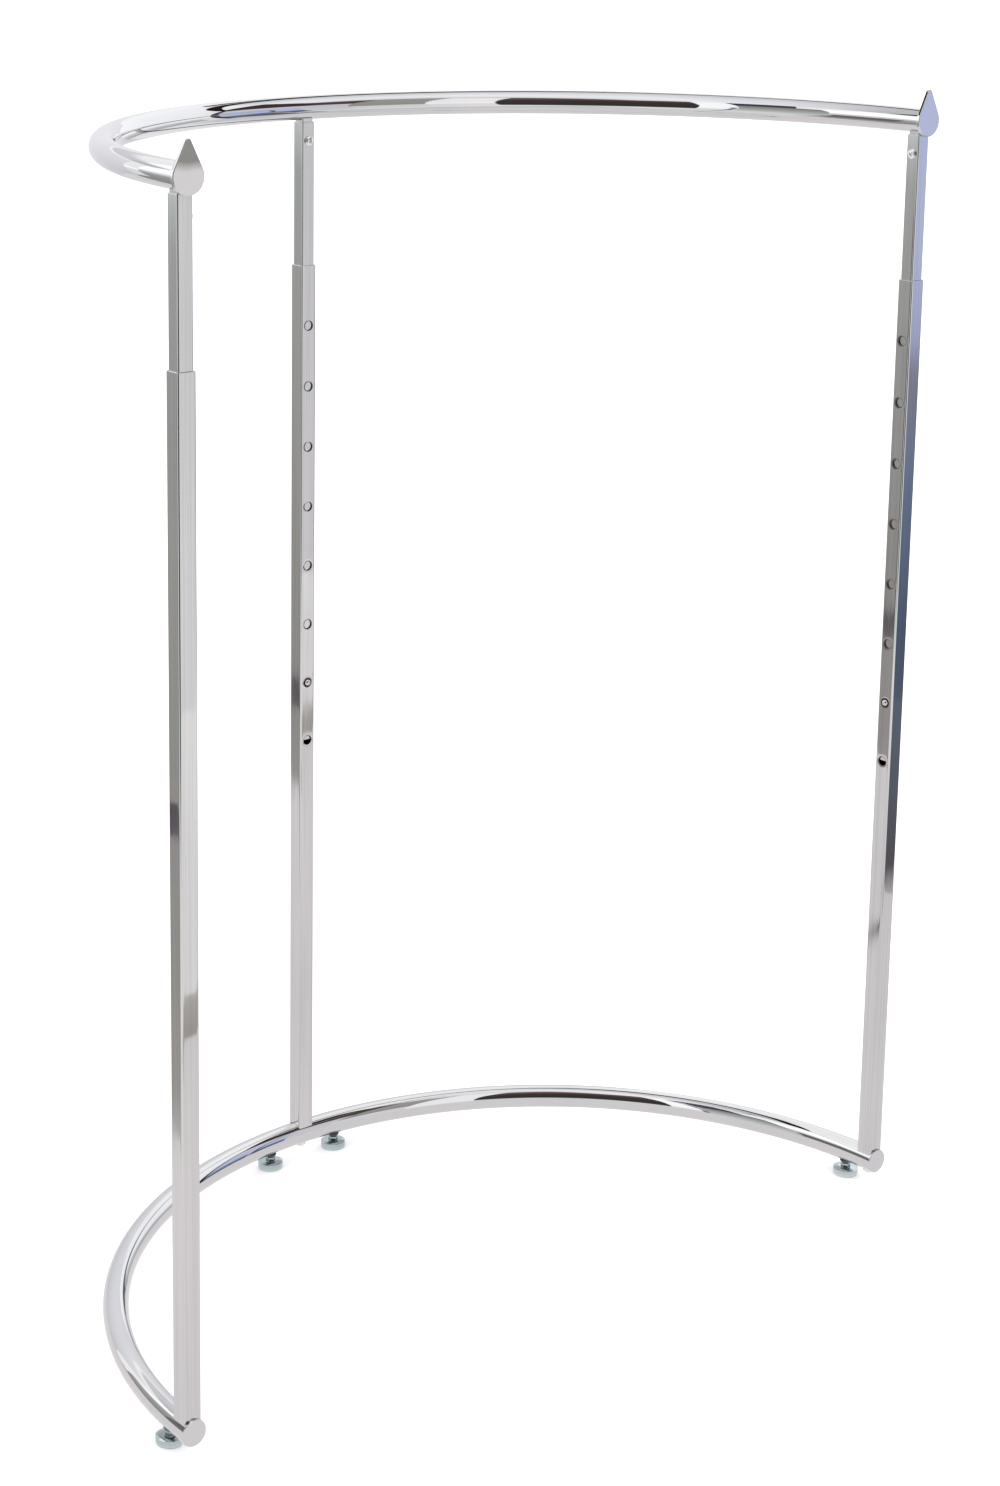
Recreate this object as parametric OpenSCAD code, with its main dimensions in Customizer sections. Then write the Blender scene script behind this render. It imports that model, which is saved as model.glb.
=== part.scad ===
// Half-round garment rack.
// A half ring of round tube stands on four levelling feet and carries three square uprights.
// Three square masts slide in the uprights and carry the half-ring hanging rail.
// A spring button in each mast locks it in one of a row of holes.
// X runs along the open side, the arc bulges towards +Y, and Z = 0 is the floor.

/* [Half rings] */
// Radius of both half rings, to the middle of the tube
ring_radius = 457.2; // [400:0.1:520]
// Outside diameter of the ring tubes
tube_dia = 25.4; // [24:0.1:28]
// Wall thickness of the ring tubes
tube_wall = 1.5; // [1.2:0.1:2]
// Distance from the arc's diameter line to the cut ends of the tubes
end_setback = 8.2; // [6:0.1:14]

/* [Heights above the floor] */
// Middle of the base tube
base_height = 29; // [29:0.5:36]
// Middle of the hanging rail's tube
rail_height = 1176; // [1150:0.5:1220]
// Open top of the uprights
upright_top = 1011.5; // [980:0.5:1030]
// Highest locking hole
first_hole_height = 947.5; // [920:0.5:950]

/* [Uprights] */
// Side of the square uprights
upright_size = 19; // [19:0.1:20]
// Wall thickness of the uprights
upright_wall = 1.25; // [1.2:0.05:1.3]
// Outer corner radius of the uprights
upright_corner = 2; // [1.5:0.1:2.5]
// Diameter of the locking holes
hole_dia = 9.5; // [8.6:0.1:10]
// Number of locking holes in each upright
hole_count = 8; // [7:1:9]
// Distance between locking holes
hole_pitch = 65.2; // [60:0.1:66]
// Hole that the button sits in, counted from the top
lock_hole = 7; // [6:1:7]

/* [Masts] */
// Side of the square masts
mast_size = 16; // [15.6:0.1:16.2]
// Wall thickness of the masts
mast_wall = 1.2; // [1:0.1:1.3]
// Outer corner radius of the masts
mast_corner = 1.8; // [1.5:0.1:2]
// Length of mast below the button
mast_tail = 65; // [60:1:90]
// Distance from the rail's middle down to the top of the masts
mast_drop = 14.5; // [14:0.1:18]
// Distance from the rail's middle down to the mast screws
screw_drop = 34; // [28:0.5:40]

/* [Stop plates] */
// Diameter of the round part of a stop plate
plate_dia = 32; // [30:0.5:36]
// Height of a stop plate's tip above the rail's middle
plate_tip = 32; // [28:0.5:40]
// Radius of the tip
plate_tip_radius = 3.4; // [2.5:0.1:4.5]
// Thickness of a stop plate
plate_thickness = 4; // [2.5:0.1:5]

/* [Snap buttons] */
// Diameter of a button
button_dia = 7.4; // [6.5:0.1:7.4]
// Height of a button's dome above the upright's face
button_rise = 2.8; // [2:0.1:3]

/* [Feet] */
// Diameter of a foot's pad
pad_dia = 27.4; // [24:0.2:32]
// Height of the pad's straight side
pad_side = 7; // [5:0.1:7]
// Height of the pad's dome above its side
pad_dome = 2; // [1.6:0.1:2]
// Diameter of the threaded stud
stud_dia = 8; // [7:0.1:8]
// Width of the stud's hexagon neck across its flats
neck_flats = 9.6; // [9:0.1:10]
// Angle from the middle upright to the feet beside it
inner_foot_angle = 5.5; // [5:0.1:9]
// Angle from the arc's diameter line to the end feet
outer_foot_angle = 6.2; // [5.8:0.1:9]

/* [Hidden] */

$fn = 96;
chrome = [0.86, 0.86, 0.88];
zinc = [0.74, 0.78, 0.80];
dark_steel = [0.24, 0.25, 0.27];
spring_steel = [0.42, 0.43, 0.46];

tube_r = tube_dia / 2;
tube_bore_r = tube_r - tube_wall;
// Gap between fixed pieces that touch
seat_gap = 0.05;

// Angle at which the tubes are cut off, from the diameter line
end_angle = asin(end_setback / ring_radius);
// The end uprights' outer faces stand just inside the tube ends
upright_inset = 0.3;
upright_angle = asin((end_setback + upright_inset + upright_size / 2) / ring_radius);
angle_right = upright_angle;
angle_middle = 90;
angle_left = 180 - upright_angle;
foot_angle_left = 180 - outer_foot_angle;
foot_angle_mid_left = 90 + inner_foot_angle;
foot_angle_mid_right = 90 - inner_foot_angle;
foot_angle_right = outer_foot_angle;

// The arc's centre lies in front of the origin, so that the rack is centred on it
front_y = end_setback - plate_thickness * cos(end_angle) - plate_dia / 2 * sin(end_angle);
back_y = ring_radius + tube_r;
arc_y = -(front_y + back_y) / 2;

upright_bore = upright_size - 2 * upright_wall;
upright_bore_corner = upright_corner - 1;
mast_bore = mast_size - 2 * mast_wall;
mast_bore_corner = mast_corner - 1;
mast_top = rail_height - mast_drop;
lock_height = first_hole_height - hole_pitch * (lock_hole - 1);
mast_bottom = lock_height - mast_tail;

// Ring cap
cap_dia = tube_dia + 0.8;
cap_thickness = 2;
cap_plug_length = 4;
plate_plug_length = 14;
// The plugs are straight and the tubes curve, so they fit with this much room
end_plug_gap = 0.5;
end_plug_r = tube_bore_r - end_plug_gap;
end_plug_wall = 2;

// Base bolt and the threaded plug above it
bolt_shank_r = 3.9;
bolt_hole_r = 4.3;
bolt_head_r = 5.3;
bolt_head_rim = 1.8;
bolt_head_height = 4.6;
bolt_socket_flats = 5;
bolt_socket_depth = 2.6;
plug_height = 26;
plug_side = upright_bore - 0.2;
bolt_reach = 21;

// Spigot and its screw
spigot_size = mast_bore - 0.2;
spigot_wall = 1.6;
spigot_corner = 1.2;
spigot_bore_corner = 0.5;
spigot_length = 42;
screw_shank_r = 2.4;
screw_thread_r = 2.45;
screw_hole_r = 2.7;
screw_head_r = 4.9;
screw_head_rim = 1.4;
screw_head_height = 3.4;
screw_length = 9;
recess_width = 1.3;
recess_span = 5.4;
recess_depth = 1.8;

// Button and clip
button_hole_r = button_dia / 2 + 0.2;
button_flange_r = 5;
button_flange = 1.1;
flange_face = mast_bore / 2 - 0.1;
clip_thickness = 0.6;
clip_width = 9;
clip_r = mast_bore / 2 - 0.7;
clip_shift = 0.6;
clip_below = 42;
clip_above = 9;

// Foot
bush_collar_r = 6.4;
bush_collar = 1.6;
bush_body_r = 5.45;
bush_hole_r = 5.5;
bush_depth = 5;
bush_bore_r = stud_dia / 2 + 0.06;
pad_socket_floor = 3.6;
pad_socket_r = stud_dia / 2 + 0.08;
pad_neck_r = 6;
pad_edge = 0.8;
neck_gap = 0.2;
neck_height = 3.4;
stud_top = base_height + 5;
pad_height = pad_side + pad_dome;
underside = base_height - tube_r;

// Places children on the ring: X outwards, Y along the tube, Z up
module at_ring(angle, height)
    translate([0, arc_y, 0])
        rotate([0, 0, angle])
            translate([ring_radius, 0, height])
                children();

// Turns children so that their Z points at the arc's centre
module face_in()
    rotate([0, -90, 0])
        children();

// Solid ring of round bar
module ring_bar(radius, height, from, to)
    translate([0, arc_y, height])
        rotate([0, 0, from])
            rotate_extrude(angle = to - from)
                translate([ring_radius, 0])
                    circle(r = radius);

module half_ring_tube(height)
    translate([0, arc_y, height])
        rotate([0, 0, end_angle])
            rotate_extrude(angle = 180 - 2 * end_angle)
                translate([ring_radius, 0])
                    difference() {
                        circle(r = tube_r);
                        circle(r = tube_bore_r);
                    }

module rounded_square(side, corner) {
    inner = side - 2 * corner;
    square([side, inner], center = true);
    square([inner, side], center = true);
    for (x = [-1, 1], y = [-1, 1])
        translate([x * inner / 2, y * inner / 2])
            circle(r = corner);
}

module square_tube(length, side, corner, bore, bore_corner)
    linear_extrude(length)
        difference() {
            rounded_square(side, corner);
            rounded_square(bore, bore_corner);
        }

// Domed screw head that rises from Z = 0: a disc whose top above the rim is part of a ball
module domed_head(radius, rim, height) {
    crown = height - rim;
    ball_r = (radius * radius + crown * crown) / (2 * crown);
    rotate_extrude()
        intersection() {
            translate([0, height - ball_r])
                circle(r = ball_r);
            square([radius, height]);
        }
}

module base_rail() {
    color(chrome)
    difference() {
        half_ring_tube(base_height);
        for (a = [angle_left, angle_middle, angle_right])
            at_ring(a, base_height - tube_dia)
                cylinder(h = 2 * tube_dia, r = bolt_hole_r);
        for (a = [foot_angle_left, foot_angle_mid_left, foot_angle_mid_right, foot_angle_right])
            at_ring(a, base_height - tube_dia)
                cylinder(h = tube_dia, r = bush_hole_r);
    }
}

// Hollow plug that holds a cap or plate in a tube's end, with its mouth along +Z
module end_plug(length)
    difference() {
        cylinder(h = length, r = end_plug_r);
        translate([0, 0, -1])
            cylinder(h = length + 2, r = end_plug_r - end_plug_wall);
    }

// Places children at a tube's end, Z pointing into the tube and Y up
module at_right_end(height)
    at_ring(end_angle, height)
        rotate([90, 0, 180])
            children();

module at_left_end(height)
    at_ring(180 - end_angle, height)
        rotate([90, 0, 0])
            children();

module base_cap() {
    color(chrome)
    union() {
        translate([0, 0, -cap_thickness])
            cylinder(h = cap_thickness, d = cap_dia);
        end_plug(cap_plug_length);
    }
}

// Drop-shaped outline: a circle whose tangents run up to a small round tip
module drop_outline() {
    big_r = plate_dia / 2;
    tip_y = plate_tip - plate_tip_radius;
    lean = asin((big_r - plate_tip_radius) / tip_y);
    circle(r = big_r);
    translate([0, tip_y])
        circle(r = plate_tip_radius);
    polygon([
        [big_r * cos(lean), big_r * sin(lean)],
        [plate_tip_radius * cos(lean), tip_y + plate_tip_radius * sin(lean)],
        [-plate_tip_radius * cos(lean), tip_y + plate_tip_radius * sin(lean)],
        [-big_r * cos(lean), big_r * sin(lean)]
    ]);
}

module stop_plate() {
    color(chrome)
    union() {
        translate([0, 0, -plate_thickness])
            linear_extrude(plate_thickness)
                drop_outline();
        end_plug(plate_plug_length);
    }
}

module upright(angle) {
    color(chrome)
    difference() {
        at_ring(angle, base_height)
            square_tube(upright_top - base_height, upright_size, upright_corner, upright_bore, upright_bore_corner);
        ring_bar(tube_r + seat_gap, base_height, -10, 190);
        for (i = [0 : hole_count - 1])
            at_ring(angle, first_hole_height - i * hole_pitch)
                face_in()
                    cylinder(h = upright_size, d = hole_dia);
    }
}

// Threaded block in the foot of an upright
module upright_plug(angle) {
    color(zinc)
    at_ring(angle, base_height + tube_r + seat_gap)
        difference() {
            linear_extrude(plug_height)
                rounded_square(plug_side, upright_bore_corner);
            translate([0, 0, -1])
                cylinder(h = plug_height + 2, r = bolt_shank_r + seat_gap);
        }
}

// Bolt that comes up through the base tube into the plug
module base_bolt(angle) {
    color(zinc)
    at_ring(angle, underside)
        difference() {
            union() {
                rotate([180, 0, 0])
                    domed_head(bolt_head_r, bolt_head_rim, bolt_head_height);
                translate([0, 0, -bolt_head_rim / 2])
                    cylinder(h = bolt_head_rim / 2 + tube_dia + bolt_reach, r = bolt_shank_r);
            }
            translate([0, 0, -bolt_head_height - 1])
                cylinder(h = bolt_socket_depth + 1, d = bolt_socket_flats / cos(30), $fn = 6);
        }
}

module foot_bush(angle) {
    color(dark_steel)
    at_ring(angle, underside)
        difference() {
            union() {
                translate([0, 0, -bush_collar])
                    cylinder(h = bush_collar, r = bush_collar_r);
                cylinder(h = bush_depth, r = bush_body_r);
            }
            translate([0, 0, -bush_collar - 1])
                cylinder(h = bush_collar + bush_depth + 2, r = bush_bore_r);
        }
}

module foot_stud(angle) {
    neck_bottom = pad_height + neck_gap;
    color(zinc)
    at_ring(angle, 0)
        union() {
            translate([0, 0, pad_socket_floor + neck_gap])
                cylinder(h = stud_top - pad_socket_floor - neck_gap, d = stud_dia);
            translate([0, 0, neck_bottom])
                cylinder(h = neck_height, d = neck_flats / cos(30), $fn = 6);
        }
}

// Turned pad: flat underside, straight side, shallow dome and a socket for the stud
module foot_pad(angle) {
    pad_r = pad_dia / 2;
    span = pad_r - pad_neck_r;
    dome_r = (span * span + pad_dome * pad_dome) / (2 * pad_dome);
    color(zinc)
    at_ring(angle, 0)
        difference() {
            rotate_extrude()
                union() {
                    polygon([
                        [0, 0],
                        [pad_r - pad_edge, 0],
                        [pad_r, pad_edge],
                        [pad_r, pad_side],
                        [pad_neck_r, pad_side],
                        [pad_neck_r, pad_height],
                        [0, pad_height]
                    ]);
                    intersection() {
                        translate([pad_neck_r, pad_height - dome_r])
                            circle(r = dome_r);
                        translate([pad_neck_r, pad_side])
                            square([span, pad_dome]);
                    }
                }
            translate([0, 0, pad_socket_floor])
                cylinder(h = pad_height, r = pad_socket_r);
        }
}

module hang_rail() {
    color(chrome)
    half_ring_tube(rail_height);
}

// Stub of square tube welded under the rail
module spigot(angle) {
    bore = spigot_size - 2 * spigot_wall;
    color(chrome)
    difference() {
        at_ring(angle, mast_top - spigot_length)
            square_tube(spigot_length + mast_drop, spigot_size, spigot_corner, bore, spigot_bore_corner);
        ring_bar(tube_r + seat_gap, rail_height, -10, 190);
        at_ring(angle, rail_height - screw_drop)
            face_in()
                cylinder(h = spigot_size, r = screw_thread_r);
    }
}

module mast(angle) {
    color(chrome)
    difference() {
        at_ring(angle, mast_bottom)
            square_tube(mast_top - mast_bottom, mast_size, mast_corner, mast_bore, mast_bore_corner);
        at_ring(angle, rail_height - screw_drop)
            face_in()
                cylinder(h = mast_size, r = screw_hole_r);
        at_ring(angle, lock_height)
            face_in()
                cylinder(h = mast_size, r = button_hole_r);
    }
}

module mast_screw(angle) {
    color(zinc)
    at_ring(angle, rail_height - screw_drop)
        face_in()
            translate([0, 0, mast_size / 2 + seat_gap])
                difference() {
                    union() {
                        domed_head(screw_head_r, screw_head_rim, screw_head_height);
                        translate([0, 0, -screw_length])
                            cylinder(h = screw_length + 0.5, r = screw_shank_r);
                    }
                    for (turn = [45, 135])
                        rotate([0, 0, turn])
                            translate([-recess_span / 2, -recess_width / 2, screw_head_height - recess_depth])
                                cube([recess_span, recess_width, recess_depth + 1]);
                }
}

// Button with a flange behind the mast's wall and a domed nose
module snap_button(angle) {
    nose = upright_size / 2 + button_rise;
    r = button_dia / 2;
    color(chrome)
    at_ring(angle, lock_height)
        face_in()
            union() {
                translate([0, 0, flange_face - button_flange])
                    cylinder(h = button_flange, r = button_flange_r);
                translate([0, 0, flange_face - button_flange])
                    cylinder(h = nose - r - flange_face + button_flange + 0.01, r = r);
                intersection() {
                    translate([0, 0, nose - r])
                        sphere(r = r);
                    translate([0, 0, nose - r])
                        cylinder(h = r + 1, r = r);
                }
            }
}

// U-shaped strip spring: its bend lies below the button
module clip_spring(angle) {
    inner_r = clip_r - clip_thickness;
    color(spring_steel)
    at_ring(angle, lock_height)
        translate([clip_shift, clip_width / 2, 0])
            rotate([90, 0, 0])
                linear_extrude(clip_width)
                    union() {
                        translate([-clip_r, -clip_below])
                            square([clip_thickness, clip_below + clip_above]);
                        translate([inner_r, -clip_below])
                            square([clip_thickness, clip_below + clip_above]);
                        translate([0, -clip_below])
                            difference() {
                                circle(r = clip_r);
                                circle(r = inner_r);
                                translate([-clip_r - 1, 0])
                                    square([2 * clip_r + 2, clip_r + 1]);
                            }
                    }
}

base_rail();
at_left_end(base_height) base_cap();  // base_cap_left
at_right_end(base_height) base_cap();  // base_cap_right
upright(angle_left);  // upright_left
upright(angle_middle);  // upright_middle
upright(angle_right);  // upright_right
upright_plug(angle_left);  // upright_plug_left
upright_plug(angle_middle);  // upright_plug_middle
upright_plug(angle_right);  // upright_plug_right
base_bolt(angle_left);  // base_bolt_left
base_bolt(angle_middle);  // base_bolt_middle
base_bolt(angle_right);  // base_bolt_right
foot_bush(foot_angle_left);  // foot_bush_left
foot_bush(foot_angle_mid_left);  // foot_bush_mid_left
foot_bush(foot_angle_mid_right);  // foot_bush_mid_right
foot_bush(foot_angle_right);  // foot_bush_right
foot_stud(foot_angle_left);  // foot_stud_left
foot_stud(foot_angle_mid_left);  // foot_stud_mid_left
foot_stud(foot_angle_mid_right);  // foot_stud_mid_right
foot_stud(foot_angle_right);  // foot_stud_right
foot_pad(foot_angle_left);  // foot_pad_left
foot_pad(foot_angle_mid_left);  // foot_pad_mid_left
foot_pad(foot_angle_mid_right);  // foot_pad_mid_right
foot_pad(foot_angle_right);  // foot_pad_right
hang_rail();
at_left_end(rail_height) stop_plate();  // stop_plate_left
at_right_end(rail_height) stop_plate();  // stop_plate_right
spigot(angle_left);  // spigot_left
spigot(angle_middle);  // spigot_middle
spigot(angle_right);  // spigot_right
mast(angle_left);  // mast_left
mast(angle_middle);  // mast_middle
mast(angle_right);  // mast_right
mast_screw(angle_left);  // mast_screw_left
mast_screw(angle_middle);  // mast_screw_middle
mast_screw(angle_right);  // mast_screw_right
snap_button(angle_left);  // snap_button_left
snap_button(angle_middle);  // snap_button_middle
snap_button(angle_right);  // snap_button_right
clip_spring(angle_left);  // clip_spring_left
clip_spring(angle_middle);  // clip_spring_middle
clip_spring(angle_right);  // clip_spring_right
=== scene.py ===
import math

import bmesh
import bpy
from mathutils import Matrix, Vector


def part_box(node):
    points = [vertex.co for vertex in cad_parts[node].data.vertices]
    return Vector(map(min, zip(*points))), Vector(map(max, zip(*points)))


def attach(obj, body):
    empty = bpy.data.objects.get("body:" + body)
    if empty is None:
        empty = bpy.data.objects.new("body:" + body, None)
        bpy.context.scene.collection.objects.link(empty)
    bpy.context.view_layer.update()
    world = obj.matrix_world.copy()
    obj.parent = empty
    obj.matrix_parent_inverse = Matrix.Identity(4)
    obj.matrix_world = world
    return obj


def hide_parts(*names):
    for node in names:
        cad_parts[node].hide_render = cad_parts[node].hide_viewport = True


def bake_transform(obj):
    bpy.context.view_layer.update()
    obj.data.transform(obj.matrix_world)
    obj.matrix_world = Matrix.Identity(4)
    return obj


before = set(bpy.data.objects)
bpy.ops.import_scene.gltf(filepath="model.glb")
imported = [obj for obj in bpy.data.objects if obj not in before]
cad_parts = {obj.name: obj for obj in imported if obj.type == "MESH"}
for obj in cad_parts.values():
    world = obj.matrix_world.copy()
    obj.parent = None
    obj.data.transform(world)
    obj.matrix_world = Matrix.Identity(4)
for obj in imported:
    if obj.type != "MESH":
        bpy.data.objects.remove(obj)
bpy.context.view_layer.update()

MM = 0.001

# ---------------------------------------------------------------- sizes, from the frame
RAIL_LOW, RAIL_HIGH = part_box("hang_rail")
BASE_LOW, BASE_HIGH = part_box("base_rail")
TUBE_R = (RAIL_HIGH.z - RAIL_LOW.z) / 2
TUBE_WALL = 1.5 * MM
RING_R = 457.2 * MM
ARC_Y = RAIL_HIGH.y - RING_R - TUBE_R
RAIL_Z = (RAIL_HIGH.z + RAIL_LOW.z) / 2
BASE_Z = (BASE_HIGH.z + BASE_LOW.z) / 2
UNDERSIDE = BASE_Z - TUBE_R
# Each ring tube stops this far short of a full half circle
END_SETBACK = 8.2 * MM
END_ANGLE = math.asin(END_SETBACK / RING_R)
# Space left between parts that touch
GAP = 0.05 * MM
# Faces round small, middling and wide turned pieces
SMALL_ROUND, ROUND, WIDE_ROUND = 48, 64, 96
# Edges sharper than this stay crisp, in degrees: on tubes and plates, and on screws and threads
CRISP, SCREW_CRISP = 32, 40
# How strongly large faces set the shading of the small ones beside them, in percent
FLAT_FACES_LEAD = 100

SIDES = ("left", "middle", "right")
FEET = ("left", "mid_left", "mid_right", "right")


def middle(node):
    low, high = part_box(node)
    return (low + high) / 2


def angle_of(node):
    """Angle of a node round the arc's centre, from the +X end of the diameter."""
    centre = middle(node)
    return math.atan2(centre.y - ARC_Y, centre.x)


def at_ring(angle, height):
    """Frame on the ring: X outwards, Y along the tube, Z up."""
    place = Matrix.Translation((0, ARC_Y, height)) @ Matrix.Rotation(angle, 4, "Z")
    return place @ Matrix.Translation((RING_R, 0, 0))


# Turns a piece so that its Z points at the arc's centre
FACE_IN = Matrix.Rotation(math.radians(-90), 4, "Y")


# ---------------------------------------------------------------- mesh helpers
def to_object(name, mesh):
    made = bpy.data.objects.new(name, mesh)
    bpy.context.scene.collection.objects.link(made)
    return made


def from_bmesh(name, bm, place=Matrix.Identity(4)):
    """Object with its faces turned outwards and its place in its mesh."""
    bmesh.ops.recalc_face_normals(bm, faces=bm.faces)
    mesh = bpy.data.meshes.new(name)
    bm.to_mesh(mesh)
    bm.free()
    mesh.transform(place)
    return to_object(name, mesh)


def settle(piece):
    """Applies a piece's modifiers, so that its mesh is final."""
    graph = bpy.context.evaluated_depsgraph_get()
    final = bpy.data.meshes.new_from_object(piece.evaluated_get(graph))
    piece.modifiers.clear()
    piece.data = final
    return piece


def combine(piece, operation, others):
    """Cuts other closed meshes out of a piece, or adds them to it, and removes them."""
    for other in others:
        step = piece.modifiers.new("combine", "BOOLEAN")
        step.operation = operation
        step.solver = "EXACT"
        step.object = other
    settle(piece)
    for other in others:
        bpy.data.objects.remove(other)
    return piece


def carve(piece, *cutters):
    return combine(piece, "DIFFERENCE", cutters)


def join(piece, *others):
    return combine(piece, "UNION", others)


def smooth(piece, sharp=CRISP):
    """Smooth shading with crisp edges, and flat faces that stay flat beside small rounds."""
    for face in piece.data.polygons:
        face.use_smooth = True
    piece.data.set_sharp_from_angle(angle=math.radians(sharp))
    weights = piece.modifiers.new("flats", "WEIGHTED_NORMAL")
    weights.keep_sharp = True
    weights.weight = FLAT_FACES_LEAD
    return settle(piece)


def round_edges(piece, width, angle=50, segments=3):
    bevel = piece.modifiers.new("edges", "BEVEL")
    bevel.width = width
    bevel.segments = segments
    bevel.limit_method = "ANGLE"
    bevel.angle_limit = math.radians(angle)
    bevel.use_clamp_overlap = True
    return settle(piece)


def set_material(piece, material):
    piece.data.materials.clear()
    piece.data.materials.append(material)


def finish_piece(piece, body, material, slot, *nodes):
    """Gives a piece its material and its body, and hides the CAD nodes it stands for; slot is not used."""
    set_material(piece, material)
    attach(piece, body)
    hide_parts(*nodes)
    return piece


def circle(radius, count):
    """Points round a circle."""
    turn = [2 * math.pi * k / count for k in range(count)]
    return [(radius * math.cos(a), radius * math.sin(a)) for a in turn]


def arc(radius, start, sweep, steps, centre_y=0.0):
    """Points along an arc round (0, centre_y), both ends included."""
    turn = [start + sweep * k / steps for k in range(steps + 1)]
    return [(radius * math.cos(a), centre_y + radius * math.sin(a)) for a in turn]


def polygon(sides, flats):
    """Outline of a regular polygon by its width across flats."""
    return circle(flats / 2 / math.cos(math.pi / sides), sides)


def with_fillets(corners, steps=5):
    """Outline through (x, y, radius) corners, each rounded by an arc of its radius."""
    outline = []
    for i, (x, y, radius) in enumerate(corners):
        here = Vector((x, y))
        if radius == 0:
            outline.append(here)
            continue
        back = (Vector(corners[i - 1][:2]) - here).normalized()
        ahead = (Vector(corners[(i + 1) % len(corners)][:2]) - here).normalized()
        half = back.angle(ahead) / 2
        cut_off = radius / math.tan(half)
        start, end = here + back * cut_off, here + ahead * cut_off
        centre = here + (back + ahead).normalized() * (radius / math.sin(half))
        for k in range(steps + 1):
            blend = start.lerp(end, k / steps) - centre
            outline.append(centre + blend.normalized() * radius)
    return outline


def bridge(bm, ring, after):
    """Band of faces between two closed rings of vertices."""
    for k in range(len(ring)):
        n = (k + 1) % len(ring)
        bm.faces.new((ring[k], ring[n], after[n], after[k]))


def loft(bm, rings):
    """Closed skin through a row of rings, with a face over each end."""
    bm.faces.new(rings[0])
    bm.faces.new(rings[-1])
    for ring, after in zip(rings, rings[1:]):
        bridge(bm, ring, after)


def lathe(name, outline, place, segments=ROUND):
    """Turns a closed (radius, height) outline round Z into a solid."""
    on_axis = 0.0001 * MM
    bm = bmesh.new()
    rings = []
    for radius, height in outline:
        spots = [(0, 0)] if radius < on_axis else circle(radius, segments)
        rings.append([bm.verts.new((x, y, height)) for x, y in spots])
    for ring, after in zip(rings, rings[1:] + rings[:1]):
        for k in range(segments):
            n = (k + 1) % segments
            corners = [ring[k], ring[n]] if len(ring) > 1 else [ring[0]]
            corners += [after[n], after[k]] if len(after) > 1 else [after[0]]
            if len(corners) > 2:
                bm.faces.new(corners)
    return from_bmesh(name, bm, place)


def prism(name, outline, low, high, place):
    """Closed solid with a flat outline between two heights."""
    bm = bmesh.new()
    loft(bm, [[bm.verts.new((x, y, z)) for x, y in outline] for z in (low, high)])
    return from_bmesh(name, bm, place)


# ---------------------------------------------------------------- materials
def new_material(name):
    material = bpy.data.materials.new(name)
    material.use_nodes = True
    nodes = material.node_tree.nodes
    return material, nodes, material.node_tree.links, nodes["Principled BSDF"]


def noise(nodes, links, scale, detail, stretch=(1, 1, 1)):
    """Noise over a piece, fixed to the object."""
    place = nodes.new("ShaderNodeTexCoord")
    mapping = nodes.new("ShaderNodeMapping")
    mapping.inputs["Scale"].default_value = stretch
    texture = nodes.new("ShaderNodeTexNoise")
    texture.inputs["Scale"].default_value = scale
    texture.inputs["Detail"].default_value = detail
    links.new(place.outputs["Object"], mapping.inputs["Vector"])
    links.new(mapping.outputs["Vector"], texture.inputs["Vector"])
    return texture.outputs["Fac"]


def ramp(nodes, links, value, stops):
    """Colour ramp through (position, colour) stops."""
    node = nodes.new("ShaderNodeValToRGB")
    elements = node.color_ramp.elements
    for element, (position, colour) in zip((elements[0], elements[-1]), (stops[0], stops[-1])):
        element.position = position
        element.color = (*colour, 1)
    for position, colour in stops[1:-1]:
        elements.new(position).color = (*colour, 1)
    links.new(value, node.inputs["Fac"])
    return node.outputs["Color"]


def times(nodes, links, first, second):
    """Product of two colours."""
    product = nodes.new("ShaderNodeVectorMath")
    product.operation = "MULTIPLY"
    links.new(first, product.inputs[0])
    links.new(second, product.inputs[1])
    return product.outputs[0]


def bump(nodes, links, height, distance, under=None):
    """Relief of a height pattern, on top of the relief under it."""
    node = nodes.new("ShaderNodeBump")
    node.inputs["Strength"].default_value = 1
    node.inputs["Distance"].default_value = distance
    links.new(height, node.inputs["Height"])
    if under is not None:
        links.new(under, node.inputs["Normal"])
    return node.outputs["Normal"]


def grey(value):
    return (value, value, value)


# Patterns: noise scale and detail, and the noise values that show as dark and as light
TINTS, SMEARS, DRAWN_MARKS = (9, 3, 0.35, 0.65), (55, 5, 0.42, 0.72), (560, 7, 0.38, 0.56)
PAINT_CLOUDS = (6, 3, 0.3, 0.7)
# Relief: noise scale and detail
WAVES, GRAIN = (38, 1), (900, 3)
DRAWN_STRETCH = (1, 1, 0.006)


def pattern(nodes, links, kind, dark, light, stretch=(1, 1, 1)):
    """Noise between two colours."""
    scale, detail, low, high = kind
    return ramp(nodes, links, noise(nodes, links, scale, detail, stretch), [(low, dark), (high, light)])


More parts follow.
